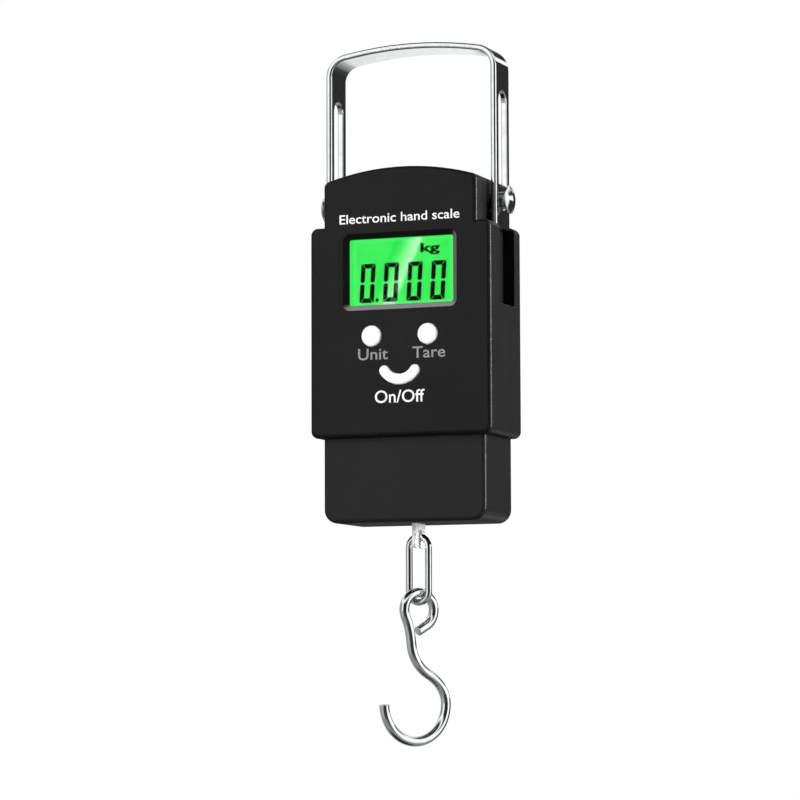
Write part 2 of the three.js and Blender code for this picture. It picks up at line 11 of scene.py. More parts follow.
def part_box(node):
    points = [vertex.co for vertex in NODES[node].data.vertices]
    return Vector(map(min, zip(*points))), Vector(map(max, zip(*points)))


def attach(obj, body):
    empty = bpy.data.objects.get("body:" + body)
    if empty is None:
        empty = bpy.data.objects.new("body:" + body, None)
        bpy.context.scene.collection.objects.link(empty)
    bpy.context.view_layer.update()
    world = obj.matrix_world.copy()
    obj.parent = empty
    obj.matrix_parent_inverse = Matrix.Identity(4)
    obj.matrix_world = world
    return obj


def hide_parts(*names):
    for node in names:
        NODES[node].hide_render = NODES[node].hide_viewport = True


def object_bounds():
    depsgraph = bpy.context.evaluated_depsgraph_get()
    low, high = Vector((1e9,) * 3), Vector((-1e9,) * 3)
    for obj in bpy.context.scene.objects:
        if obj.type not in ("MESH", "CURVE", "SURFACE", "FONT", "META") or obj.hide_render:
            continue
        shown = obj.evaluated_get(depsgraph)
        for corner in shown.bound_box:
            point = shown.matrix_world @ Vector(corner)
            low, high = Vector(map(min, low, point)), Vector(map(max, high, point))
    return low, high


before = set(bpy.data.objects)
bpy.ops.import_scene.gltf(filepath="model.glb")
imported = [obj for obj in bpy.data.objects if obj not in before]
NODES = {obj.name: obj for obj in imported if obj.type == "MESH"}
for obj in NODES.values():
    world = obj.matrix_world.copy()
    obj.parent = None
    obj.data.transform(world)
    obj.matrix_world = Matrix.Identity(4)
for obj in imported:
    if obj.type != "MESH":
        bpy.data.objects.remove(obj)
CAD_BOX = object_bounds()
SCENE = bpy.context.scene
MM = 0.001
QUARTER = pi / 2
SIDES = (("left", -1), ("right", 1))


def corners(node):
    """Lowest and highest corner of a frame node, in millimetres."""
    low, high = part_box(node)
    return low / MM, high / MM


def middle(node):
    low, high = corners(node)
    return (low + high) / 2


def add_object(name, data):
    piece = bpy.data.objects.new(name, data)
    SCENE.collection.objects.link(piece)
    return piece


# ---- camera
LENS = 153.29
VIEW_YAW = radians(21.378)  # the camera stands to the right of the front
VIEW_PITCH = radians(5.197)  # and looks a little upwards
VIEW_ROLL = radians(0.187)
EYE_POINT = Vector((0.44526, -1.15574, -0.24130))


def add_camera():
    data = bpy.data.cameras.new("studio_camera")
    data.lens = LENS
    data.dof.use_dof = False
    data.clip_start, data.clip_end = 0.05, 60
    camera = add_object("studio_camera", data)
    level = Vector((cos(VIEW_YAW), sin(VIEW_YAW), 0))
    ahead = Vector((-sin(VIEW_YAW), cos(VIEW_YAW), 0)) * cos(VIEW_PITCH)
    ahead.z = sin(VIEW_PITCH)
    upright = level.cross(ahead)
    right = level * cos(VIEW_ROLL) - upright * sin(VIEW_ROLL)
    up = level * sin(VIEW_ROLL) + upright * cos(VIEW_ROLL)
    turn = Matrix((right, up, -ahead)).transposed().to_4x4()
    camera.matrix_world = Matrix.Translation(EYE_POINT) @ turn
    SCENE.camera = camera


add_camera()

# ---- driving dimensions, in millimetres
STRAP_LOW, STRAP_HIGH = corners("bail_strap")
STRAP = Sizes(thick=2.2, arch=145, corner=8.2, edge=0.38 * 2.2)
SLOT = Sizes(half=4.2, top=-16.8, bottom=-60.4)

FRONT = -18.6
BACK = 14.4
SPLIT = 2.4
GAP = 0.3
WALL = 2.0
EDGE = 1.5
HEAD = Sizes(half=29.75, top=-45, arch=98, corner=2.5)
WIDE = Sizes(half=35, top=-66.1, bottom=-143.1, corner=2.6)
FOOT = Sizes(half=31.35, bottom=-173.9, front=-14.9, back=13.6, corner=5)
POCKET = Sizes(inner=30.6, half=7.9, bottom=-95.3, floor=-97.8)
WINDOW = Sizes(half=20.1, top=-70.95, bottom=-95.1, flare=1.8, corner=0.9)
KEY_PROUD = 0.8
SMILE = Sizes(z=-115.67, radius=6.98, half=2.1, angle=1.007)
RIVET_Z = -57
RIVET = Sizes(shank=2, cap=5.15, rim=35.6, rise=2, tail=3.2)
YOKE_EAR = 24.9
HANGER_HOLE = Sizes(z=-178.1, radius=2.1)
LINK = Sizes(wire=1.25, bend=3.9, top=-178.65, bottom=-202.45, turn=-5)
HOOK = Sizes(wire=1.8, eye=6.4, z=-205.3, bowl=13.4, bowl_x=-1.8, drop=34.1, turn=55)
BAY = Sizes(inner=9, outer=20, floor=0.5, top=-77, bottom=-127.6, wall=1.2)
DOOR = Sizes(half=20.2, top=-76.8, bottom=-127.7, inner=12.6)
SCREW = Sizes(shank=1.3, head=2.6, seat=8.3, thick=1.9, tip=-8)
SCREW_PLACES = [(-18, -53), (18, -53), (-22, -166), (22, -166)]

# ---- outlines


def arc(x, z, radius, start, end, steps=8):
    turn = (end - start) / steps
    return [
        (x + radius * cos(start + turn * i), z + radius * sin(start + turn * i))
        for i in range(steps + 1)
    ]


def trimmed(points):
    return [p for i, p in enumerate(points) if dist(p, points[i - 1]) > 1e-4]


def rounded_rect(x, z, radius, steps=8):
    left, right = x[0] + radius, x[1] - radius
    low, high = z[0] + radius, z[1] - radius
    centres = ((right, low), (right, high), (left, high), (left, low))
    points = [arc(u, v, radius, (i - 1) * QUARTER, i * QUARTER, steps) for i, (u, v) in enumerate(centres)]
    return trimmed(sum(points, []))


def even_rect(half, z, radius, steps=8):
    return rounded_rect((-half, half), z, radius, steps)


def circle(radius, sides=48, x=0, z=0):
    return arc(x, z, radius, 0, 4 * QUARTER, sides)[:-1]


def arch_top(half, top, arch, corner, steps=8):
    """Corner, arch and corner of a round-topped outline, from right to left."""
    corner_x = half - corner
    arch_z = top - arch
    corner_z = arch_z + sqrt((arch - corner) ** 2 - corner_x**2)
    meet = atan2(corner_z - arch_z, corner_x)
    points = arc(corner_x, corner_z, corner, 0, meet, steps)
    points += arc(0, arch_z, arch, meet, pi - meet, 6 * steps)
    points += arc(-corner_x, corner_z, corner, pi - meet, pi, steps)
    return points


def arched_block(half, top, arch, corner, bottom):
    return trimmed([(-half, bottom), (half, bottom)] + arch_top(half, top, arch, corner))


def crescent(grow=0.0, steps=28, tip_steps=12):
    z, radius, half = SMILE.z, SMILE.radius, SMILE.half + grow
    start, end = -QUARTER - SMILE.angle, -QUARTER + SMILE.angle
    points = []
    for side, first, last, turn in ((1, start, end, end), (-1, end, start, start + pi)):
        points += arc(0, z, radius + side * half, first, last, steps)
        points += arc(radius * cos(last), z + radius * sin(last), half, turn, turn + pi, tip_steps)
    return trimmed(points)


def inset(points, distance):
    """The outline moved inwards by a distance, or outwards where it is negative."""
    ahead = points[1:] + points[:1]
    area = sum(a[0] * b[1] - b[0] * a[1] for a, b in zip(points, ahead))
    side = 1 if area > 0 else -1
    moved = []
    for corner in zip(points[-1:] + points[:-1], points, ahead):
        before, here, after = map(Vector, corner)
        first = (here - before).normalized().orthogonal() * side
        second = (after - here).normalized().orthogonal() * side
        bisector = (first + second).normalized()
        reach = distance / max(0.3, bisector.dot(first))
        moved.append(tuple(here + bisector * reach))
    return moved


# ---- solids
ACROSS = {
    "x": lambda u, v, w: (w, u, v),
    "y": lambda u, v, w: (u, w, v),
    "z": lambda u, v, w: (u, v, w),
}


def drawn(name, points, edges=(), faces=()):
    mesh = bpy.data.meshes.new(name)
    mesh.from_pydata(points, edges, faces)
    return add_object(name, mesh)


def shaped(shape, name):
    mesh = bpy.data.meshes.new(name)
    shape.to_mesh(mesh)
    shape.free()
    return add_object(name, mesh)


def loft(rings, axis="y"):
    """Closed solid through outlines of equally many points; a ring is (outline, place along the axis)."""
    place = ACROSS[axis]
    shape = bmesh.new()
    loops = [[shape.verts.new(Vector(place(u, v, w)) * MM) for u, v in outline] for outline, w in rings]
    for here, there in zip(loops, loops[1:]):
        for i in range(len(here)):
            j = (i + 1) % len(here)
            shape.faces.new((here[i], here[j], there[j], there[i]))
    shape.faces.new(loops[0])
    shape.faces.new(loops[-1])
    bmesh.ops.recalc_face_normals(shape, faces=shape.faces)
    return shaped(shape, "solid")


def grown(outline, rings, axis="y"):
    """Loft of one outline that each ring (growth, place) makes wider."""
    return loft([(inset(outline, -growth), w) for growth, w in rings], axis)


def rim(outline, edge, steps):
    """Rings (outline, depth) that round a plate's rim."""
    turns = [QUARTER * i / steps for i in range(steps + 1)]
    return [(inset(outline, edge * (1 - sin(a))), edge * (1 - cos(a))) for a in turns]


def plate(outline, span, edge=0.0, axis="y", steps=6):
    near, far = span
    rings = rim(outline, edge, steps) if edge else [(outline, 0)]
    return loft([(o, near + d) for o, d in rings] + [(o, far - d) for o, d in rings[::-1]], axis)


def block(x, y, z):
    return plate([(x[0], z[0]), (x[1], z[0]), (x[1], z[1]), (x[0], z[1])], y)


def turned(profile, u=0, v=0, axis="y", sides=48):
    """Round solid from (radius, place) steps about an axis through u, v."""
    return loft([(circle(r, sides, u, v), w) for r, w in profile], axis)


def rod(radius, span, u=0, v=0, axis="y", sides=48):
    return turned([(radius, w) for w in span], u, v, axis, sides)


def final_mesh(piece):
    graph = bpy.context.evaluated_depsgraph_get()
    return bpy.data.meshes.new_from_object(piece.evaluated_get(graph), depsgraph=graph)


def baked(piece):
    """Applies the piece's modifiers and leaves a plain mesh."""
    mesh = final_mesh(piece)
    piece.modifiers.clear()
    piece.data = mesh
    return piece


def combined(operation, first, others):
    for other in others:
        step = first.modifiers.new(operation.lower(), "BOOLEAN")
        step.operation = operation
        step.solver = "MANIFOLD"
        step.object = other
    baked(first)
    for other in others:
        bpy.data.objects.remove(other)
    return first


def joined(first, *others):
    return combined("UNION", first, others)


def cut(first, *others):
    return combined("DIFFERENCE", first, others)


def smoothed(piece, angle=32):
    """Smooth shading with crisp corners, flat faces kept flat."""
    piece.data.shade_smooth()
    piece.data.set_sharp_from_angle(angle=radians(angle))
    weights = piece.modifiers.new("flat_faces", "WEIGHTED_NORMAL")
    weights.keep_sharp = True
    weights.weight = 80
    return baked(piece)


def settled(piece, name, body, finish, replaced=(), angle=32):
    """Names a finished piece, gives it its material and fixes it to its body."""
    smoothed(piece, angle)
    piece.name = name
    piece.data.name = name
    piece.data.materials.clear()
    piece.data.materials.append(finish)
    for face in piece.data.polygons:
        face.material_index = 0
    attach(piece, body)
    if replaced:
        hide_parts(*replaced)
    return piece


# ---- shader groups
def socket(node, label):
    return next(s for s in node.inputs if s.name == label and s.enabled)


def out(node, label):
    return next(s for s in node.outputs if s.name == label and s.enabled)


class Tree:
    """Adds nodes to a tree and wires them by socket name."""

    family = "ShaderNode"

    def __init__(self, tree):
        self.tree = tree

    def add(self, kind, settings=None, **inputs):
        node = self.tree.nodes.new(self.family + kind)
        for key, value in (settings or {}).items():
            setattr(node, key, value)
        for label, value in inputs.items():
            self.feed(socket(node, label.replace("_", " ")), value)
        return node

    def feed(self, target, value):
        if isinstance(value, bpy.types.NodeSocket):
            self.tree.links.new(value, target)
        else:
            target.default_value = value

    def math(self, operation, first, second=0.0):
        return self.mixed("Math", (first, second), operation=operation)

    def mixed(self, kind, values, **settings):
        """A node whose first inputs are fed in order."""
        node = self.add(kind, settings)
        for target, value in zip(node.inputs, values):
            self.feed(target, value)
        return node.outputs[0]

    def times(self, first, second):
        return self.math("MULTIPLY", first, second)

    def plus(self, first, second):
        return self.math("ADD", first, second)

    def size(self, value):
        return self.math("ABSOLUTE", value)

    def blend(self, amount, first, second):
        node = self.add("Mix", {"data_type": "RGBA"})
        for i, value in ((0, amount), (6, first), (7, second)):
            self.feed(node.inputs[i], value)
        return node.outputs[2]

    def ranged(self, value, low, high, to_low=0.0, to_high=1.0):
        return self.mixed("MapRange", (value, low, high, to_low, to_high))

    def noise(self, scale, detail, vector=None, roughness=0.5):
        vector = vector or self.point()
        node = self.add("TexNoise", Vector=vector, Scale=scale, Detail=detail, Roughness=roughness)
        return out(node, "Fac")

    def point(self):
        return out(self.add("TexCoord"), "Object")

    def normal(self):
        return out(self.add("NewGeometry"), "Normal")

    def parts(self, vector):
        return self.add("SeparateXYZ", Vector=vector).outputs

    def either(self, switch, first, second):
        return self.mixed("MixShader", (switch, first, second))

    def seen(self):
        return self.add("LightPath").outputs["Is Camera Ray"]


FLOAT, VECTOR = "NodeSocketFloat", "NodeSocketVector"


def shader_group(name, inputs, *outputs):
    """Tree, inputs and outputs of a new group that puts out plain values."""
    tree = bpy.data.node_groups.new(name, "ShaderNodeTree")
    for label, kind, value in inputs:
        tree.interface.new_socket(label, in_out="INPUT", socket_type=kind).default_value = value
    for label in outputs:
        tree.interface.new_socket(label, in_out="OUTPUT", socket_type=FLOAT)
    return Tree(tree), tree.nodes.new("NodeGroupInput").outputs, tree.nodes.new("NodeGroupOutput").inputs


def grain_group():
    """Fine grain of a surface: its height and a speckle for its colour. Stretch draws it out."""
    inputs = [("Scale", FLOAT, 2000.0), ("Stretch", VECTOR, (1, 1, 1))]
    group, given, result = shader_group("surface_grain", inputs, "Height", "Speckle")
    drawn_out = group.mixed("VectorMath", (group.point(), given["Stretch"]), operation="MULTIPLY")
    fine = group.noise(given["Scale"], 3.0, drawn_out, 0.6)
    coarse = group.noise(group.times(given["Scale"], 0.31), 2.0, drawn_out)
    group.feed(result["Height"], group.plus(group.times(fine, 0.7), group.times(coarse, 0.3)))
    group.feed(result["Speckle"], group.ranged(fine, 0.38, 0.66))
    return group.tree


def handling_group():
    """Slow patches where hands have polished or dulled a surface."""
    inputs = [("Scale", FLOAT, 60.0), ("Contrast", FLOAT, 1.0)]
    group, given, result = shader_group("handling_marks", inputs, "Marks")
    patches = group.ranged(group.noise(given["Scale"], 5.0, roughness=0.62), 0.3, 0.7)
    centred = group.math("SUBTRACT", patches, 0.5)
    group.feed(result["Marks"], group.plus(group.times(centred, given["Contrast"]), 0.5))
    return group.tree


def wear_group():
    """Mask of the edges, broken up as rubbed edges are."""
    inputs = [("Width", FLOAT, 0.0004), ("Amount", FLOAT, 1.0)]
    group, given, result = shader_group("rubbed_edges", inputs, "Edge")
    round_edge = group.add("Bevel", {"samples": 6}, Radius=given["Width"])
    match = group.add("VectorMath", {"operation": "DOT_PRODUCT"})
    group.feed(match.inputs[0], out(round_edge, "Normal"))
    group.feed(match.inputs[1], group.normal())
    edge = group.ranged(group.math("SUBTRACT", 1.0, out(match, "Value")), 0.02, 0.25)
    broken = group.ranged(group.noise(420.0, 4.0), 0.36, 0.62, 0.25, 1.0)
    group.feed(result["Edge"], group.times(group.times(edge, broken), given["Amount"]))
    return group.tree


def scratch_group():
    """Fine hairline rubbing in two directions, for polished metal."""
    group, given, result = shader_group("hairline_rub", [("Scale", FLOAT, 900.0)], "Hairlines")
    lines = []
    for turn, squeeze in ((0.4, (1, 0.06, 0.06)), (1.9, (0.05, 1, 0.08))):
        way = (turn, 0.3 * turn, turn)
        laid = group.add("Mapping", Vector=group.point(), Rotation=way, Scale=squeeze)
        lines.append(group.ranged(group.noise(given["Scale"], 2.0, out(laid, "Vector")), 0.58, 0.7))
    group.feed(result["Hairlines"], group.math("MAXIMUM", *lines))
    return group.tree


GRAIN = grain_group()
HANDLING = handling_group()
RUBBED = wear_group()
HAIRLINES = scratch_group()


# ---- materials
def grey(level, tint=(1, 1, 1)):
    return (level * tint[0], level * tint[1], level * tint[2], 1.0)


class Finish(Tree):
    """A material's tree, with its shader's inputs given by name."""

    def __init__(self, name):
        self.material = bpy.data.materials.new(name)
        self.material.use_nodes = True
        self.material.node_tree.nodes.clear()
        super().__init__(self.material.node_tree)
        self.shader = self.add("BsdfPrincipled")
        self.end = self.add("OutputMaterial", Surface=self.shader.outputs["BSDF"]).inputs["Surface"]

    def give(self, **values):
        for label, value in values.items():
            self.feed(self.shader.inputs[label.replace("_", " ")], value)

    def use(self, group, **values):
        node = self.add("Group", {"node_tree": group})
        for label, value in values.items():
            self.feed(node.inputs[label], value)
        return node.outputs

    def marks(self, scale, **more):
        return self.use(HANDLING, Scale=scale, **more)["Marks"]

    def roughen(self, marks, low, high):
        self.give(Roughness=self.ranged(marks, 0.0, 1.0, low, high))

    def raise_grain(self, height, strength, depth):
        self.give(Normal=self.add("Bump", Strength=strength, Distance=depth, Height=height).outputs["Normal"])


def surface_nodes(
    name, dark, light, worn, rough=(0.4, 0.6), grain=2000.0, stretch=(1, 1, 1), bump=0.2,
    depth=0.00003, wear=0.6, wear_width=0.0004, marks=60.0, hairlines=0.0, **plain,
):
    """A moulded, cast or rolled finish: grain, speckle, handling marks and rubbed edges."""
    made = Finish(name)
    texture = made.use(GRAIN, Scale=grain, Stretch=stretch)
    edge = made.use(RUBBED, Width=wear_width, Amount=wear)["Edge"]
    body = made.blend(texture["Speckle"], dark, light)
    roughness = made.ranged(made.marks(marks), 0.0, 1.0, *rough)
    if hairlines:
        roughness = made.plus(roughness, made.times(made.use(HAIRLINES)["Hairlines"], hairlines))
    made.give(Base_Color=made.blend(edge, body, worn), Roughness=roughness, **plain)
    made.raise_grain(texture["Height"], bump, depth)
    return made, body, edge, roughness


def surface(*values, **more):
    return surface_nodes(*values, **more)[0].material


WINDOW_MID = (WINDOW.top + WINDOW.bottom) / 2
WINDOW_HALF_Z = (WINDOW.top - WINDOW.bottom) / 2


def painted_window_highlight(tree, facing):
    """Mask for the slopes round the window, painted paler below and a little at the right: a painted highlight
    standing in for the light on the slopes that face up and left.
    """
    place = tree.parts(tree.point())
    from_middle = tree.math("SUBTRACT", place["Z"], WINDOW_MID * MM)
    spans = []
    for value, half in ((place["X"], WINDOW.half), (from_middle, WINDOW_HALF_Z)):
        reach = half + WINDOW.flare
        spans.append(tree.ranged(tree.size(value), (reach + 0.3) * MM, reach * MM))
    upward = tree.ranged(facing["Z"], 0.2, 0.6)
    leftward = tree.ranged(facing["X"], -0.3, -0.6, 0.0, 0.4)
    return tree.times(tree.times(*spans), tree.math("MAXIMUM", upward, leftward))


def casing_material():
    """Black moulded plastic with a fine spark-eroded grain; the foot's front, back and underside and the window's
    lower and right slopes are painted paler, as painted highlights.
    """
    made, body, edge, polished = surface_nodes(
        "black_moulding", grey(0.003), grey(0.0062), grey(0.022), (0.27, 0.35), 2600.0, bump=0.36,
        depth=0.00006, wear=0.3, marks=34.0, Specular_IOR_Level=0.17,
    )
    facing = made.parts(made.normal())
    height = made.parts(made.point())["Z"]
    foot = made.ranged(height, (WIDE.bottom - 0.6) * MM, (WIDE.bottom + 0.2) * MM, 1.0, 0.0)
    # Painted light: the foot's faces that do not face sideways are painted a shade lighter, standing in for the
    # light falling on them.
    painted_foot_light = made.times(foot, made.ranged(made.size(facing["X"]), 0.3, 1.0, 0.28, 0.0))
    body_with_painted_light = made.blend(painted_foot_light, body, grey(0.022))
    # Painted highlight: the window's slopes that face up, and a little those that face left, get a paler grey
    # standing in for the light on them.
    body_with_painted_light = made.blend(painted_window_highlight(made, facing), body_with_painted_light, grey(0.2))
    dull_below = made.times(made.ranged(facing["Z"], -0.7, -0.95), 0.45)
    made.give(Base_Color=made.blend(edge, body_with_painted_light, grey(0.05)), Roughness=made.plus(polished, dull_below))
    return made.material


def chrome(name, tint, rough, hairlines):
    return surface(
        name, grey(0.72, tint), grey(0.84, tint), grey(0.9, tint), rough, 300.0, bump=0.05, depth=0.00002,
        wear=0.5, wear_width=0.0003, marks=90.0, hairlines=hairlines, Metallic=1.0,
    )


def metal(name, level, tint, rough, grain, stretch, bump=0.15):
    levels = (level * 0.82, level * 1.1, min(0.95, level * 1.35))
    shades = [grey(shade, tint) for shade in levels]
    return surface(name, *shades, rough, grain, stretch, bump, 0.00002, hairlines=0.08, Metallic=1.0)


def ink(name, colour, dull):
    """Pad-printed ink, a little thin in places."""
    return surface(
        name, dull, colour, dull, (0.45, 0.6), 3200.0, bump=0.1, depth=0.00001, wear=0.15, wear_width=0.00008,
    )


def lens_material():
    made = Finish("window_glass")
    marks = made.marks(140.0)
    tint = made.blend(marks, (0.97, 1.0, 0.98, 1), (0.99, 1.0, 0.99, 1))
    made.give(Base_Color=tint, Roughness=made.ranged(marks, 0.3, 1.0, 0.012, 0.05), IOR=1.1, Transmission_Weight=1.0)
    return made.material


def display_material():
    """Lit green liquid-crystal panel: brighter towards its rim, with the diffuser's soft mottle."""
    made = Finish("lit_green_panel")
    place = made.parts(made.point())
    across = made.math("DIVIDE", place["X"], WINDOW.half * MM)
    along = made.math("DIVIDE", made.math("SUBTRACT", place["Z"], WINDOW_MID * MM), WINDOW_HALF_Z * MM)
    near_rim = made.ranged(made.math("MAXIMUM", made.size(across), made.size(along)), 0.86, 1.0)
    mottle = made.marks(110.0, Contrast=0.8)
    fine = made.use(GRAIN, Scale=2600.0)["Speckle"]
    mixed = made.plus(made.times(mottle, 0.7), made.times(fine, 0.3))
    field = made.blend(mixed, (0.003, 0.70, 0.048, 1), (0.009, 0.83, 0.07, 1))
    made.give(
        Base_Color=made.blend(mixed, (0.01, 0.09, 0.02, 1), (0.02, 0.14, 0.03, 1)),
        Emission_Color=made.blend(made.times(near_rim, 0.5), field, (0.07, 0.9, 0.15, 1)),
        Emission_Strength=1.0,
        Specular_IOR_Level=0.4,
    )
    made.roughen(mottle, 0.012, 0.03)
    return made.material


def jacket_material():
    """Printed cell jacket with a dark band at the stud end, and bare steel ends."""
    made = Finish("cell_jacket")
    low, high = corners("battery_left")
    height = made.parts(made.point())["Z"]
    along = made.math("DIVIDE", made.math("SUBTRACT", height, low.z * MM), (high.z - low.z) * MM)
    centred = made.size(made.math("SUBTRACT", along, 0.5))
    ring = made.ranged(made.size(made.math("SUBTRACT", centred, 0.25)), 0.008, 0.006)
    speckle = made.use(GRAIN, Scale=1800.0)
    end = made.ranged(made.size(made.parts(made.normal())["Z"]), 0.6, 0.8)
    colour = made.blend(speckle["Speckle"], (0.10, 0.18, 0.30, 1), (0.13, 0.23, 0.36, 1))
    colour = made.blend(made.ranged(centred, 0.27, 0.275), colour, (0.03, 0.032, 0.036, 1))
    colour = made.blend(ring, colour, (0.6, 0.6, 0.58, 1))
    made.give(Base_Color=made.blend(end, colour, grey(0.6)), Metallic=end)
    made.roughen(made.marks(160.0), 0.24, 0.4)
    made.raise_grain(speckle["Height"], 0.05, 0.00002)
    return made.material


def board_material():
    """Green solder mask over copper tracks."""
    made = Finish("circuit_board_mask")
    laid = made.add("Mapping", Vector=made.point(), Rotation=(QUARTER, 0, 0))
    tracks = made.add("TexBrick", Vector=out(laid, "Vector"), Scale=260.0, Mortar_Size=0.03)
    copper = made.ranged(out(tracks, "Fac"), 0.4, 0.6)
    speckle = made.use(GRAIN, Scale=2200.0)
    mask = made.blend(speckle["Speckle"], (0.008, 0.07, 0.026, 1), (0.012, 0.10, 0.036, 1))
    made.give(Base_Color=made.blend(copper, mask, (0.03, 0.17, 0.06, 1)))
    made.roughen(made.marks(90.0), 0.28, 0.45)
    made.raise_grain(made.plus(copper, made.times(speckle["Height"], 0.2)), 0.4, 0.00004)
    return made.material


COOL = (0.97, 0.99, 1.0)
CASING = casing_material()
KEY_WHITE = surface(
    "white_key_plastic", (0.80, 0.80, 0.785, 1), (0.90, 0.90, 0.89, 1), (0.72, 0.71, 0.68, 1),
    (0.3, 0.45), 2400.0, bump=0.12, depth=0.00004, wear=0.35, marks=200.0,
)
BAIL_CHROME = chrome("bail_chrome_plate", COOL, (0.035, 0.08), 0.04)
HOOK_CHROME = chrome("hook_chrome_plate", COOL, (0.03, 0.07), 0.05)
RIVET_CHROME = chrome("rivet_nickel_plate", (1.0, 0.99, 0.97), (0.07, 0.14), 0.06)
STEEL = metal("zinc_plated_steel", 0.5, COOL, (0.24, 0.4), 700.0, (1, 1, 0.2))
SPRING_STEEL = metal("nickel_spring_steel", 0.6, COOL, (0.18, 0.3), 900.0, (1, 1, 1))
ALUMINIUM = metal("milled_aluminium", 0.66, (1, 1, 1), (0.3, 0.46), 500.0, (0.15, 1, 1), 0.3)
HANGER_STEEL = surface(
    "pressed_hanger_steel", grey(0.78), grey(0.9), grey(0.95), (0.34, 0.48), 800.0, (1, 0.2, 1), Metallic=0.3,
)
PRINT_WHITE = ink("white_print", (0.9, 0.9, 0.9, 1), (0.8, 0.8, 0.8, 1))
PRINT_GREY = ink("grey_print", (0.27, 0.27, 0.28, 1), (0.22, 0.22, 0.23, 1))
LENS_GLASS = lens_material()
PANEL_GREEN = display_material()
SEGMENT_DARK = surface(
    "dark_segments", (0.0015, 0.007, 0.002, 1), (0.003, 0.012, 0.004, 1), (0.004, 0.02, 0.006, 1),
    (0.35, 0.5), 3000.0, bump=0.02, wear=0.2, Specular_IOR_Level=0.0,
)
JACKET = jacket_material()
BOARD_GREEN = board_material()
CHIP = surface("chip_epoxy", grey(0.009), grey(0.016), grey(0.05), (0.35, 0.5), 2600.0)
RUBBER = surface("contact_rubber", grey(0.03), grey(0.05), grey(0.1), (0.7, 0.85), 1500.0, (8, 1, 1))
AMBER = ((0.3, 0.14, 0.02, 1), (0.42, 0.2, 0.03, 1), (0.6, 0.4, 0.2, 1))
FILM = surface("gauge_film_amber", *AMBER, (0.2, 0.35), 1600.0)

for finish, nodes in (
    (LENS_GLASS, "window_lens"),
    (PANEL_GREEN, "display_panel display_backlight"),
    (RUBBER, "contact_strip"),
    (BOARD_GREEN, "circuit_board"),
    (CHIP, "controller_chip unit_switch tare_switch power_switch"),
    (STEEL, "load_yoke yoke_bolt hanger_pin rivet_collar_left rivet_collar_right"),
    (ALUMINIUM, "load_cell"),
    (FILM, "strain_gauge_left strain_gauge_right"),
    (JACKET, "battery_left battery_right"),
    (SPRING_STEEL, "spring_plate_left spring_plate_right stud_plate_left stud_plate_right"),
):
    for node in nodes.split():
        data = NODES[node].data
        data.materials.clear()
        data.materials.append(finish)


# ---- geometry node trees
class Shape(Tree):
    """A geometry node tree with named inputs, whose end realizes instances and sets the material."""

    family = "GeometryNode"

    def __init__(self, name, inputs):
        super().__init__(bpy.data.node_groups.new(name, "GeometryNodeTree"))
        sockets = [("Geometry", "NodeSocketGeometry"), *inputs, ("Finish", "NodeSocketMaterial")]
        for label, kind in sockets:
            self.tree.interface.new_socket(label, in_out="INPUT", socket_type=kind)
        self.tree.interface.new_socket("Geometry", in_out="OUTPUT", socket_type="NodeSocketGeometry")
        self.given = self.tree.nodes.new("NodeGroupInput").outputs
        self.result = self.tree.nodes.new("NodeGroupOutput")

    def end(self, geometry):
        real = self.add("RealizeInstances", Geometry=geometry)
        smooth = self.add("SetShadeSmooth", Geometry=real.outputs[0])
        finish = self.given["Finish"]
        coloured = self.add("SetMaterial", Geometry=smooth.outputs[0], Material=finish)
        self.feed(self.result.inputs[0], coloured.outputs[0])
        return self.tree


def run_tree(piece, tree, **values):
    """Runs a geometry tree on a piece and keeps its result as a plain mesh."""
    step = piece.modifiers.new(tree.name, "NODES")
    step.node_group = tree
    for item in tree.interface.items_tree:
        label = item.name.replace(" ", "_")
        if item.in_out == "INPUT" and label in values:
            step[item.identifier] = values[label]
    return baked(piece)


def swept(shape, path, sides):
    """Round wire along a path, closed at its ends."""
    radius = shape.given["Wire radius"]
    section = shape.add("CurvePrimitiveCircle", Radius=radius, Resolution=sides).outputs[0]
    wire = shape.add("CurveToMesh", Curve=path.outputs[0], Profile_Curve=section, Fill_Caps=True)
    return shape.end(wire.outputs[0])


def wire_tree():
    """Round wire swept along the path that the object's edges draw."""
    shape = Shape("bent_wire", [("Wire radius", FLOAT), ("Sides", COUNT)])
    return swept(shape, shape.add("MeshToCurve", Mesh=shape.given["Geometry"]), shape.given["Sides"])


def coil_tree():
    """Tapered contact spring, wound as a spiral about +Z."""
    sizes = ("Turns", "Wide radius", "Narrow radius", "Height", "Wire radius")
    shape = Shape("contact_coil", [(size, FLOAT) for size in sizes])
    turns, wide, narrow, height, _ = (shape.given[size] for size in sizes)
    spiral = shape.add(
        "CurveSpiral",
        Resolution=36, Rotations=turns, Start_Radius=wide, End_Radius=narrow, Height=height,
    )
    return swept(shape, spiral, 10)


def repeat_tree():
    """The same part set on every point of the object's mesh."""
    shape = Shape("part_on_points", [("Part", "NodeSocketObject")])
    part = out(shape.add("ObjectInfo", Object=shape.given["Part"]), "Geometry")
    return shape.end(shape.add("InstanceOnPoints", Points=shape.given["Geometry"], Instance=part).outputs[0])


COUNT = "NodeSocketInt"
WIRE = wire_tree()
COIL = coil_tree()
REPEAT = repeat_tree()


def bent_wire(points, closed, size, sides, finish):
    """Wire along points (x, z) of an upright plane that is turned about +Z, in degrees."""
    aim = radians(size.turn)
    places = [(x * cos(aim) * MM, x * sin(aim) * MM, z * MM) for x, z in points]
    edges = [(i, i + 1) for i in range(len(places) - 1)] + [(len(places) - 1, 0)] * closed
    path = drawn("path", places, edges)
    return run_tree(path, WIRE, Wire_radius=size.wire * MM, Sides=sides, Finish=finish)


def repeated(part, places, finish):
    piece = run_tree(drawn("places", places), REPEAT, Part=part, Finish=finish)
    bpy.data.objects.remove(part)
    return piece


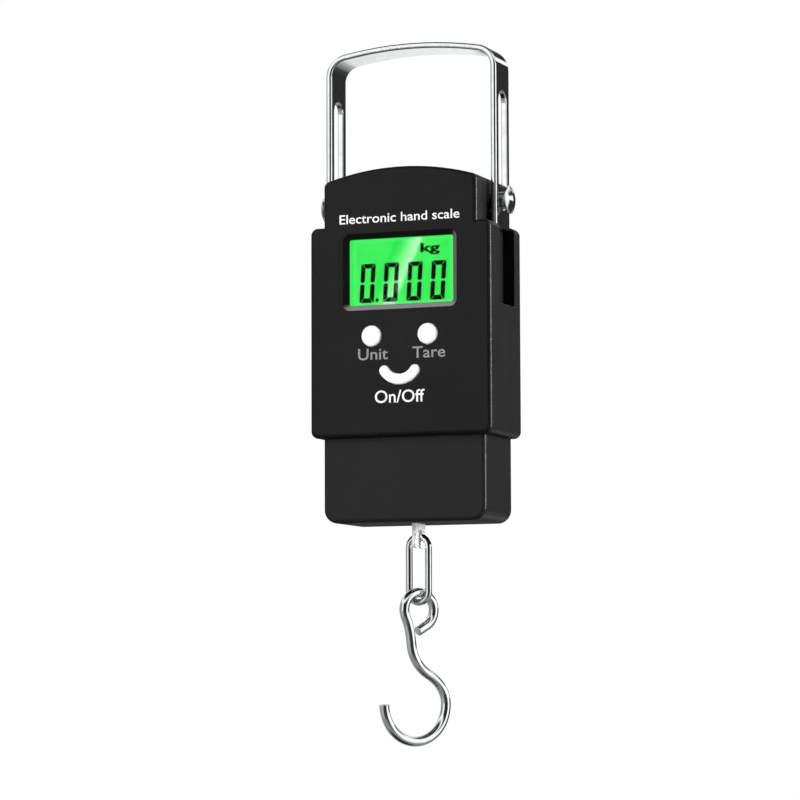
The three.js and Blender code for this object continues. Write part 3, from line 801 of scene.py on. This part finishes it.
# ---- bail
def bail():
    half, bottom = STRAP_HIGH.x, STRAP_LOW.z
    thick, arch, corner = STRAP.thick, STRAP.arch, STRAP.corner
    outside = arch_top(half, thick, arch, corner, 26)
    inside = arch_top(half - thick, 0, arch - thick, corner - thick, 26)[::-1]
    right_foot, left_foot = [(half - thick, bottom), (half, bottom)], [(-half, bottom), (thick - half, bottom)]
    outline = trimmed(right_foot[1:] + outside + left_foot + inside + right_foot[:1])
    strap = plate(outline, (STRAP_LOW.y, STRAP_HIGH.y), STRAP.edge, steps=9)
    hole = even_rect(SLOT.half, (SLOT.bottom, SLOT.top), SLOT.half, 14)
    flare, past = 0.35, 0.1
    mouths = []
    for face in (-half, half - thick):
        mouths += [(flare + past, face - past), (0, face + flare)]
        mouths += [(0, face + thick - flare), (flare + past, face + thick + past)]
    return cut(strap, grown(hole, mouths, "x"))


settled(bail(), "bail", "bail", BAIL_CHROME, ["bail_strap"], 28)


# ---- housing
def outer_form():
    head = arched_block(HEAD.half, HEAD.top, HEAD.arch, HEAD.corner, WIDE.top - 10)
    wide = even_rect(WIDE.half, (WIDE.bottom, WIDE.top), WIDE.corner)
    foot = even_rect(FOOT.half, (FOOT.bottom, WIDE.bottom + 12), FOOT.corner, 10)
    return joined(
        plate(wide, (FRONT, BACK), EDGE),
        plate(head, (FRONT, BACK), EDGE),
        plate(foot, (FOOT.front, FOOT.back), EDGE),
    )


def inner_form():
    y = (FRONT + WALL, BACK - WALL)
    head = arched_block(HEAD.half - WALL, HEAD.top - WALL, HEAD.arch - WALL, 1, WIDE.top - 10)
    aside, full, low = POCKET.inner - WALL, WIDE.half - WALL, FOOT.half - WALL
    low_y = (FOOT.front + WALL, FOOT.back - WALL)
    return joined(
        plate(head, y),
        block((-aside, aside), y, (POCKET.floor - 1, WIDE.top - WALL)),
        block((-full, full), y, (WIDE.bottom + WALL, POCKET.floor)),
        block((-low, low), low_y, (FOOT.bottom + WALL, WIDE.bottom + 5)),
    )


def arm_pocket(sign):
    face = WIDE.half
    rings = [(0, POCKET.inner), (0, face - 0.3), (0.4, face + 0.1), (0.4, face + 1)]
    shape = even_rect(POCKET.half, (POCKET.bottom, WIDE.top + 4), 1, 5)
    return grown(shape, [(growth, sign * x) for growth, x in rings], "x")


THROUGH_FRONT = (0, FRONT + WALL + 1)


def window_cut():
    flare = WINDOW.flare
    throat = even_rect(WINDOW.half, (WINDOW.bottom, WINDOW.top), WINDOW.corner, 6)
    slope = [(flare + 0.5, FRONT - 0.3), (flare + 0.2, FRONT), (flare, FRONT + 0.2), (0, FRONT + flare)]
    return grown(throat, slope + [THROUGH_FRONT])


def key_hole(outline):
    return grown(outline, [(0.5, FRONT - 0.3), (0.2, FRONT), (0, FRONT + 0.2), THROUGH_FRONT])


EYES = {name: middle(f"{name}_key").x for name in ("unit", "tare")}
EYE_RADIUS = 3.77
EYE_Z = -106.6
KEY_CLEARANCE = 0.27
SMILE_TRIM = 0.2


def shell_cuts():
    reach = WIDE.half + 2
    tongue = block((-1.25, 1.25), (-5.6, 5.6), (FOOT.bottom - 1, FOOT.bottom + WALL + 1))
    return [arm_pocket(-1), arm_pocket(1), rod(RIVET.shank + GAP, (-reach, reach), 0, RIVET_Z, "x"), tongue]


def half_space(front):
    y = (SPLIT - GAP / 2, 200) if front else (-200, SPLIT + GAP / 2)
    return block((-200, 200), y, (-300, 100))


def screw_rods(radius, span, places=SCREW_PLACES, sides=48):
    return [rod(radius, span, x, z, sides=sides) for x, z in places]


def front_half(walls):
    upper = [place for place in SCREW_PLACES if place[1] > WIDE.top]
    lower = [place for place in SCREW_PLACES if place[1] < WIDE.top]
    bosses = screw_rods(3.3, (FRONT + 1, SPLIT - 0.2), upper)
    bosses += screw_rods(3.3, (FOOT.front + 1, SPLIT - 0.2), lower)
    bores = screw_rods(SCREW.shank + GAP, (SCREW.tip - 1, SPLIT + 1), sides=24)
    holes = [key_hole(circle(EYE_RADIUS + KEY_CLEARANCE, 64, x, EYE_Z)) for x in EYES.values()]
    holes.append(key_hole(crescent(KEY_CLEARANCE - SMILE_TRIM)))
    return cut(joined(walls, *bosses), *shell_cuts(), window_cut(), *holes, *bores, half_space(True))


def battery_bay(sign):
    inner, outer, floor, wall = BAY.inner, BAY.outer, BAY.floor, BAY.wall
    x = sorted((sign * (inner - wall), sign * (outer + wall)))
    room = sorted((sign * inner, sign * outer))
    shelf = block(x, (floor - wall, DOOR.inner), (BAY.bottom - wall, BAY.top + wall))
    return cut(shelf, block(room, (floor, DOOR.inner + 1), (BAY.bottom, BAY.top)))


def door_opening():
    outline = even_rect(DOOR.half + GAP, (DOOR.bottom - GAP, DOOR.top + GAP), 1.8, 6)
    return grown(outline, [(0, BACK - WALL - 0.5), (0, BACK - 0.25), (0.35, BACK + 0.1), (0.35, BACK + 1)])


def back_half(walls):
    bosses = screw_rods(3.7, (SPLIT + 0.2, BACK - 1.2))
    seats = []
    radius, flare = SCREW.head + GAP, 0.4
    for x, z in SCREW_PLACES:
        face = BACK if z > WIDE.bottom else FOOT.back
        profile = [(radius, SCREW.seat - GAP), (radius, face - 0.3)]
        profile += [(radius + flare, face + 0.1), (radius + flare, face + 1)]
        seats.append(turned(profile, x, z))
    bores = screw_rods(SCREW.shank + GAP, (SPLIT - 1, SCREW.seat), sides=24)
    shell = joined(walls, battery_bay(-1), battery_bay(1), *bosses)
    return cut(shell, *shell_cuts(), door_opening(), *seats, *bores, half_space(False))


walls = cut(outer_form(), inner_form())
front_shell = front_half(add_object("walls", walls.data.copy()))
back_shell = back_half(walls)
settled(front_shell, "front_housing", "housing", CASING, ["front_shell"])
settled(back_shell, "back_housing", "housing", CASING, ["back_shell"])


# ---- keys
def key_cap(outline, foot_x, foot_z):
    """Domed cap, the flange behind the panel and the foot that meets the switch."""
    crown, round_edge, steps = 0.25, 0.55, 6
    face, flange = FRONT - KEY_PROUD, FRONT + WALL + GAP
    rings = [(inset(outline, round_edge + 0.9), face)]
    for i in range(steps + 1):
        turn = QUARTER * i / steps
        shrink = round_edge * (1 - sin(turn)) + crown * (1 - i / steps)
        rings.append((inset(outline, shrink), face + round_edge * (1 - cos(turn))))
    cap = loft(rings + [(outline, flange + 0.2)])
    collar = plate(inset(outline, -1.1), (flange, flange + 1.1), 0.15, steps=2)
    foot = rod(1.5, (flange + 1, corners("unit_key")[1].y), foot_x, foot_z, sides=24)
    return joined(cap, collar, foot)


def add_key(name, outline, x, z):
    cap = key_cap(outline, x, z)
    settled(cap, f"{name}_keycap", f"{name}_button", KEY_WHITE, [f"{name}_key"], 30)


for name, x in EYES.items():
    add_key(name, circle(EYE_RADIUS, 72, x, EYE_Z), x, EYE_Z)
add_key("power", crescent(-SMILE_TRIM), 0, SMILE.z - SMILE.radius)


# ---- rivets
def rivet(sign):
    cap, rise, rim = RIVET.cap, RIVET.rise, 0.4
    dome = rise - rim
    radius = (cap**2 + dome**2) / (2 * dome)
    sweep = asin(cap / radius)
    profile = [(cap - 0.25, 0), (cap, 0.15), (cap, rim - 0.1), (cap - 0.08, rim)]
    for i in range(1, 15):
        angle = sweep * (1 - i / 14.4)
        profile.append((radius * sin(angle), rim + dome - radius * (1 - cos(angle))))
    inner, shank, tail = YOKE_EAR - GAP, RIVET.shank, RIVET.tail
    head = turned([(r, sign * (RIVET.rim + x)) for r, x in profile], 0, RIVET_Z, "x", 72)
    stem = rod(shank, sorted((sign * (inner - 0.5), sign * (RIVET.rim + 0.5))), 0, RIVET_Z, "x")
    foot = [(tail - 0.4, inner - 1.3), (tail, inner - 0.9), (tail, inner)]
    return joined(head, stem, turned([(r, sign * x) for r, x in foot], 0, RIVET_Z, "x"))


for side, sign in SIDES:
    settled(rivet(sign), f"rivet_{side}", "housing", RIVET_CHROME, [f"handle_rivet_{side}"], 30)


# ---- battery door
def door():
    inner, bottom, top = DOOR.inner, DOOR.bottom, DOOR.top
    cover = plate(even_rect(DOOR.half, (bottom, top), 1.5, 6), (inner, BACK), 0.35, steps=4)
    tabs = []
    for x in (-4.5, 4.5):
        for depth, low in ((0.5, 0.1), (-0.55, -1.9)):
            tabs.append(block((x - 2, x + 2), (inner - 1.5, inner + depth), (bottom + low, bottom + 2.2)))
    lug = block((-3.5, 3.5), (inner - 1.2, inner + 0.5), (top - 3, top - 0.2))
    bar = even_rect(6, (top - 5.5, top - 4.5), 0.49, 6)
    rib = grown(bar, [(0, BACK - 0.5), (0, BACK + 0.2), (-0.12, BACK + 0.42), (-0.3, BACK + 0.5)])
    return joined(cover, *tabs, lug, repeated(rib, [(0, 0, -2.4 * MM * i) for i in range(3)], CASING))


settled(door(), "battery_cover", "door", CASING, ["battery_door"])


# ---- screws
def screw():
    shank, tip, seat, head = SCREW.shank, SCREW.tip, SCREW.seat, SCREW.head
    top = seat + SCREW.thick
    profile = [(shank - 0.5, tip), (shank, tip + 0.8), (shank, seat), (head, seat), (head, top - 0.9)]
    profile += [(head * 0.94, top - 0.5), (head * 0.78, top - 0.2), (head * 0.5, top - 0.04), (head * 0.2, top)]
    recess, arm, narrow = (top - 1, top + 1), 1.6, 0.35
    wide = block((-arm, arm), recess, (-narrow, narrow))
    tall = block((-narrow, narrow), recess, (-arm, arm))
    return cut(turned(profile, sides=40), wide, tall)


screws = repeated(screw(), [Vector((x, 0, z)) * MM for x, z in SCREW_PLACES], STEEL)
settled(screws, "housing_screws", "housing", STEEL, [f"housing_screw_{i}" for i in range(1, 5)])


# ---- battery contacts
SPRING = Sizes(wire=0.3, wide=4, narrow=2.2, turns=4)
for side, sign in SIDES:
    low, high = corners(f"contact_spring_{side}")
    centre = middle(f"spring_plate_{side}")
    opens_up = centre.z < middle(f"battery_{side}").z
    wire = SPRING.wire
    coil = run_tree(
        drawn("coil", []), COIL, Turns=float(SPRING.turns), Wide_radius=SPRING.wide * MM,
        Narrow_radius=SPRING.narrow * MM, Height=(high.z - low.z - 2 * wire) * MM, Wire_radius=wire * MM,
        Finish=SPRING_STEEL,
    )
    stand = Matrix.Identity(4) if opens_up else Matrix.Rotation(pi, 4, "Y")
    base = low.z + wire if opens_up else high.z - wire
    coil.data.transform(Matrix.Translation(Vector((centre.x, centre.y, base)) * MM) @ stand)
    settled(coil, f"contact_coil_{side}", "housing", SPRING_STEEL, [f"contact_spring_{side}"], 50)


# ---- hanger plate, link and hook
def hanger():
    low, high = corners("hanger_plate")
    tongue = plate(rounded_rect((low.y, high.y), (low.z, high.z), 1.6, 8), (low.x, high.x), 0.2, "x", 3)
    reach, flare, hole = high.x + 0.1, 0.3, HANGER_HOLE.radius
    rings = [(hole + flare, -reach), (hole, -reach + flare), (hole, reach - flare), (hole + flare, reach)]
    pin_hole = rod(2.3, (-2, 2), 0, middle("hanger_pin").z, "x")
    return cut(tongue, turned(rings, 0, HANGER_HOLE.z, "x"), pin_hole)


settled(hanger(), "hanger_tongue", "housing", HANGER_STEEL, ["hanger_plate"])


def link_path():
    bend = LINK.bend
    points = arc(0, LINK.top - bend, bend, 0, pi, 36)
    return trimmed(points + arc(0, LINK.bottom + bend, bend, pi, 2 * pi, 36))


def bend_to(start, start_heading, end, end_heading, steps=36):
    """Smooth bend from one point and heading to another, headings in degrees."""
    reach = 0.36 * dist(start, end)
    first, last = (
        Vector((cos(radians(a)), sin(radians(a)))) * reach for a in (start_heading, end_heading)
    )
    handles = [Vector(start), Vector(start) + first, Vector(end) - last, Vector(end)]
    points = []
    for i in range(steps + 1):
        t = i / steps
        weights = ((1 - t) ** 3, 3 * t * (1 - t) ** 2, 3 * t * t * (1 - t), t**3)
        points.append(tuple(sum((h * w for h, w in zip(handles, weights)), Vector((0, 0)))))
    return points


def hook_path():
    eye, bowl = HOOK.eye, HOOK.bowl
    eye_end, eye_leave, run = radians(-60), radians(205), 4.6
    points = arc(0, 0, eye, eye_end, eye_leave, 110)
    last = Vector(points[0]) + Vector((sin(eye_end), -cos(eye_end))) * run
    points = [tuple(last)] + points
    waist, elbow, start = (-3.3, -13), (4.4, -23.5), (HOOK.bowl_x + bowl, -HOOK.drop)
    points += bend_to(points[-1], 295, waist, 276)
    points += bend_to(waist, 276, elbow, 332)
    points += bend_to(elbow, 332, start, 270)
    points += arc(HOOK.bowl_x, -HOOK.drop, bowl, 0, -pi, 120)
    return [(x, z + HOOK.z) for x, z in trimmed([points[0]] + points)]


def with_soft_ends(wire, width=0.45):
    """Rounds the rims of a wire's two cut ends."""
    shape = bmesh.new()
    shape.from_mesh(wire.data)
    rims = [e for e in shape.edges if e.is_manifold and e.calc_face_angle() > radians(60)]
    bmesh.ops.bevel(shape, geom=rims, offset=width * MM, segments=4, profile=0.5, affect="EDGES")
    shape.to_mesh(wire.data)
    shape.free()
    return wire


link = bent_wire(link_path(), True, LINK, 56, HOOK_CHROME)
settled(link, "swing_link", "link", HOOK_CHROME, ["chain_link"], 50)

hook = bent_wire(hook_path(), False, HOOK, 64, HOOK_CHROME)
settled(with_soft_ends(hook), "load_hook", "hook", HOOK_CHROME, ["hook"], 50)


# ---- display digits and print
PANEL_FACE = corners("display_panel")[0].y
SLANT = 0.06
DIGIT = Sizes(width=6.1, low=-94.0, high=-79.8, first=-14.15, step=9.15, bar=1.65, gap=0.2)


def segment(points, depth=0.12):
    """Flat dark cell standing just off the panel, leaning with the digits."""
    leaning = [(x + SLANT * (z - DIGIT.low), z) for x, z in points]
    return plate(leaning, (PANEL_FACE - depth, PANEL_FACE - 0.01))


def zero_digit():
    half, bar, gap = DIGIT.width / 2 - 0.25, DIGIT.bar, DIGIT.gap
    low, high = DIGIT.low, DIGIT.high
    mid = (low + high) / 2
    parts = []
    for side in (-1, 1):
        outer, centre, inner = side * half, side * (half - bar / 2), side * (half - bar)
        for tip, way in ((high, 1), (low, -1)):
            parts.append(segment([
                (inner, mid + way * (gap + 0.5)),
                (centre, mid + way * gap),
                (outer, mid + way * (gap + 0.5)),
                (outer, tip - way * gap),
                (outer - side * 0.2, tip - way * gap * 0.5),
                (inner, tip - way * (bar + gap * 0.4)),
            ]))
    wide, narrow = half - gap - 0.25, half - bar - gap * 0.3
    for tip, way in ((high, 1), (low, -1)):
        deep = tip - way * bar
        parts.append(segment([(-wide, tip), (wide, tip), (narrow, deep), (-narrow, deep)]))
    return joined(*parts)


first_zero = zero_digit()
first_zero.data.transform(Matrix.Translation(Vector((DIGIT.first, 0, 0)) * MM))
digits = repeated(first_zero, [(DIGIT.step * MM * i, 0, 0) for i in range(4)], SEGMENT_DARK)
point = turned([(0.62, PANEL_FACE - 0.12), (0.62, PANEL_FACE - 0.01)], -10.0, -93.2, sides=24)
settled(joined(digits, point), "display_digits", "housing", SEGMENT_DARK)


def lettering(words, name, finish, x, z, height, y, weight=0.008):
    """Plain words as a thin raised print, fitted between x[0] and x[1] about height z."""
    thin, depth = 0.03, 0.01
    font = bpy.data.curves.new(name, "FONT")
    font.body, font.offset = words, weight
    font.resolution_u, font.extrude = 4, depth
    made = add_object(name, font)
    mesh = final_mesh(made)
    bpy.data.objects.remove(made)
    (low_x, high_x), (low_z, high_z) = ([f(v.co[i] for v in mesh.vertices) for f in (min, max)] for i in (0, 1))
    wide = (x[1] - x[0]) / (high_x - low_x)
    tall = height / (high_z - low_z)
    for vertex in mesh.vertices:
        u, v, w = vertex.co
        back = y - thin * (w + depth) / 0.02
        vertex.co = Vector((x[0] + (u - low_x) * wide, back, z - height / 2 + (v - low_z) * tall)) * MM
    shape = bmesh.new()
    shape.from_mesh(mesh)
    bmesh.ops.remove_doubles(shape, verts=shape.verts, dist=1e-7)
    bmesh.ops.recalc_face_normals(shape, faces=shape.faces)
    shape.to_mesh(mesh)
    shape.free()
    return settled(add_object(name, mesh), name, "housing", finish)


for words, name, finish, x, z, height in (
    ("Electronic hand scale", "heading_print", PRINT_WHITE, (-23.3, 23.3), -63.6, 3.4),
    ("Unit", "unit_print", PRINT_GREY, (-16.1, -4.5), -113.2, 4.2),
    ("Tare", "tare_print", PRINT_GREY, (5.0, 17.6), -113.2, 4.2),
    ("On/Off", "power_print", PRINT_WHITE, (-9.6, 9.6), -128.8, 4.6),
):
    lettering(words, name, finish, x, z, height, FRONT)
lettering("kg", "kilogram_mark", SEGMENT_DARK, (6.9, 14.4), -75.4, 4.3, PANEL_FACE - 0.05, 0.03)


# ---- stage and light
FLOOR_DROP = 0.02
HEART = Vector((0, 0, -0.11))


def add_floor():
    """Pale floor that shows as plain white, and that a view from underneath looks through."""
    disc = bmesh.new()
    bmesh.ops.create_circle(disc, cap_ends=True, segments=96, radius=6)
    floor = shaped(disc, "floor")
    floor.location.z = CAD_BOX[0].z - FLOOR_DROP
    made = Finish("pale_floor")
    made.give(Base_Color=grey(0.3), Roughness=1.0, Specular_IOR_Level=0.0)
    white = made.add("Emission", Color=grey(1.0)).outputs[0]
    shown = made.either(made.seen(), made.shader.outputs["BSDF"], white)
    below = made.add("NewGeometry").outputs["Backfacing"]
    made.feed(made.end, made.either(below, shown, made.add("BsdfTransparent").outputs[0]))
    floor.data.materials.append(made.material)
    floor.visible_glossy = False


# Brightness of the panels that stand round the object, by their place in the turn.
PANELS = (
    (0.083, 0.38), (0.125, 0.55), (0.153, 1.05), (0.208, 1.05), (0.233, 0.25), (0.256, 0.02), (0.43, 0.02),
    (0.455, 1.0), (0.505, 1.2), (0.555, 1.2), (0.585, 0.03), (0.75, 0.025), (0.80, 0.1), (0.875, 0.3), (0.93, 0.35),
)
LOW_PANELS = (
    (0.15, 0.5), (0.2, 0.45), (0.27, 0.04), (0.43, 0.04), (0.46, 1.0), (0.55, 1.0), (0.585, 0.03), (0.68, 0.03),
    (0.70, 0.05), (0.735, 0.27), (0.76, 0.5), (0.81, 0.85), (0.9, 0.6),
)
# Bands that cover the panels from one height of view to another, with their brightness.
BANDS = ((0.40, 0.55, 1.0), (0.64, 0.8, 0.03), (-0.3, -0.6, 0.26), (-0.8, -0.93, 0.02))
# Small cards: where each fades in and out round the turn and in height, and its brightness.
CARDS = (
    ((0.700, 0.708, 0.738, 0.728), (0.29, 0.31, 0.40, 0.38), 1.1),
    ((0.54, 0.56, 0.672, 0.652), (0.07, 0.11, 0.30, 0.26), 1.2),
)
END_LEVEL = 0.3
STUDIO_STRENGTH = 1.15


def add_studio():
    """White to look at, with bright and dark panels round the object for the metal to reflect."""
    world = bpy.data.worlds.new("studio")
    SCENE.world = world
    world.use_nodes = True
    world.node_tree.nodes.clear()
    tree = Tree(world.node_tree)
    way = out(tree.add("TexCoord"), "Generated")
    turn = out(tree.add("TexGradient", {"gradient_type": "RADIAL"}, Vector=way), "Fac")
    rise = tree.parts(way)["Z"]
    peak = max(level for _, level in PANELS)

    def ring(levels):
        node = tree.add("ValToRGB", Fac=turn)
        ramp = node.color_ramp
        ramp.interpolation = "EASE"
        ramp.elements[0].color = ramp.elements[1].color = grey(END_LEVEL / peak)
        for place, level in levels:
            ramp.elements.new(place).color = grey(level / peak)
        return out(node, "Color")

    around = tree.blend(tree.ranged(rise, -0.02, -0.08), ring(PANELS), ring(LOW_PANELS))
    for start, full, level in BANDS:
        around = tree.blend(tree.ranged(rise, start, full), around, grey(level / peak))
    for across, up, level in CARDS:
        fades = [(turn, across[:2]), (turn, across[2:]), (rise, up[:2]), (rise, up[2:])]
        a, b, c, d = (tree.ranged(value, *limits) for value, limits in fades)
        around = tree.blend(tree.times(tree.times(a, b), tree.times(c, d)), around, grey(level / peak))
    reflected = tree.add("Background", Color=around, Strength=STUDIO_STRENGTH * peak).outputs[0]
    plain = tree.add("Background", Color=grey(1.0)).outputs[0]
    tree.add("OutputWorld", Surface=tree.either(tree.seen(), reflected, plain))
    SCENE.view_settings.view_transform = "Standard"


def add_softbox(name, place, size, power):
    data = bpy.data.lights.new(name, "AREA")
    data.shape = "RECTANGLE"
    data.size, data.size_y = size
    data.energy = power
    light = add_object(name, data)
    light.location = place
    light.rotation_euler = (HEART - Vector(place)).to_track_quat("-Z", "Y").to_euler()
    light.visible_camera = light.visible_glossy = light.visible_transmission = False
    return light


def add_edge_strip():
    """Tall narrow lamp that picks out the moulding's right front edge and lights nothing else."""
    strip = add_softbox("edge_strip", (1.95, 0.45, 0.02), (0.12, 1.4), 60)
    strip.visible_glossy = True
    moulding = bpy.data.collections.new("edge_lit")
    for name in ("front_housing", "back_housing"):
        moulding.objects.link(bpy.data.objects[name])
    strip.light_linking.receiver_collection = moulding


def add_reflector():
    """Narrow slanted card in front of the window, seen only as the bright streak on its glass."""
    glass = corners("window_lens")[0].y * MM
    behind = Vector((EYE_POINT.x, 2 * glass - EYE_POINT.y, EYE_POINT.z))
    reach, fade, glow = 1.8, 2.2, 17.0
    streak = ((-15.5, -98.0), (-5.5, -98.0), (9.0, -68.0), (-1.0, -68.0))
    places = [behind + (Vector((x * MM, glass, z * MM)) - behind) * reach for x, z in streak]
    card = drawn("reflector_card", places, [], [(0, 1, 2, 3)])
    layer = card.data.uv_layers.new(name="across")
    for i, across in enumerate((0.0, 1.0, 1.0, 0.0)):
        layer.data[i].uv = (across, 0.5)
    made = Finish("reflector_glow")
    across = made.parts(out(made.add("TexCoord"), "UV"))["X"]
    light = made.blend(made.math("POWER", across, fade), grey(0.0), grey(1.0))
    made.give(Base_Color=grey(0.0), Emission_Color=light, Emission_Strength=glow)
    card.data.materials.append(made.material)
    card.visible_camera = card.visible_diffuse = card.visible_shadow = False


add_floor()
add_studio()
add_softbox("key_softbox", (-0.9, -1.5, 0.7), (1.2, 1.2), 31)
add_softbox("fill_softbox", (1.7, 0.45, 0.2), (1.0, 1.4), 152)
add_softbox("top_softbox", (0.1, 0.2, 1.5), (1.2, 1.2), 12)
add_softbox("back_softbox", (-0.6, 1.6, 0.5), (1.4, 1.2), 70)
add_edge_strip()
add_reflector()
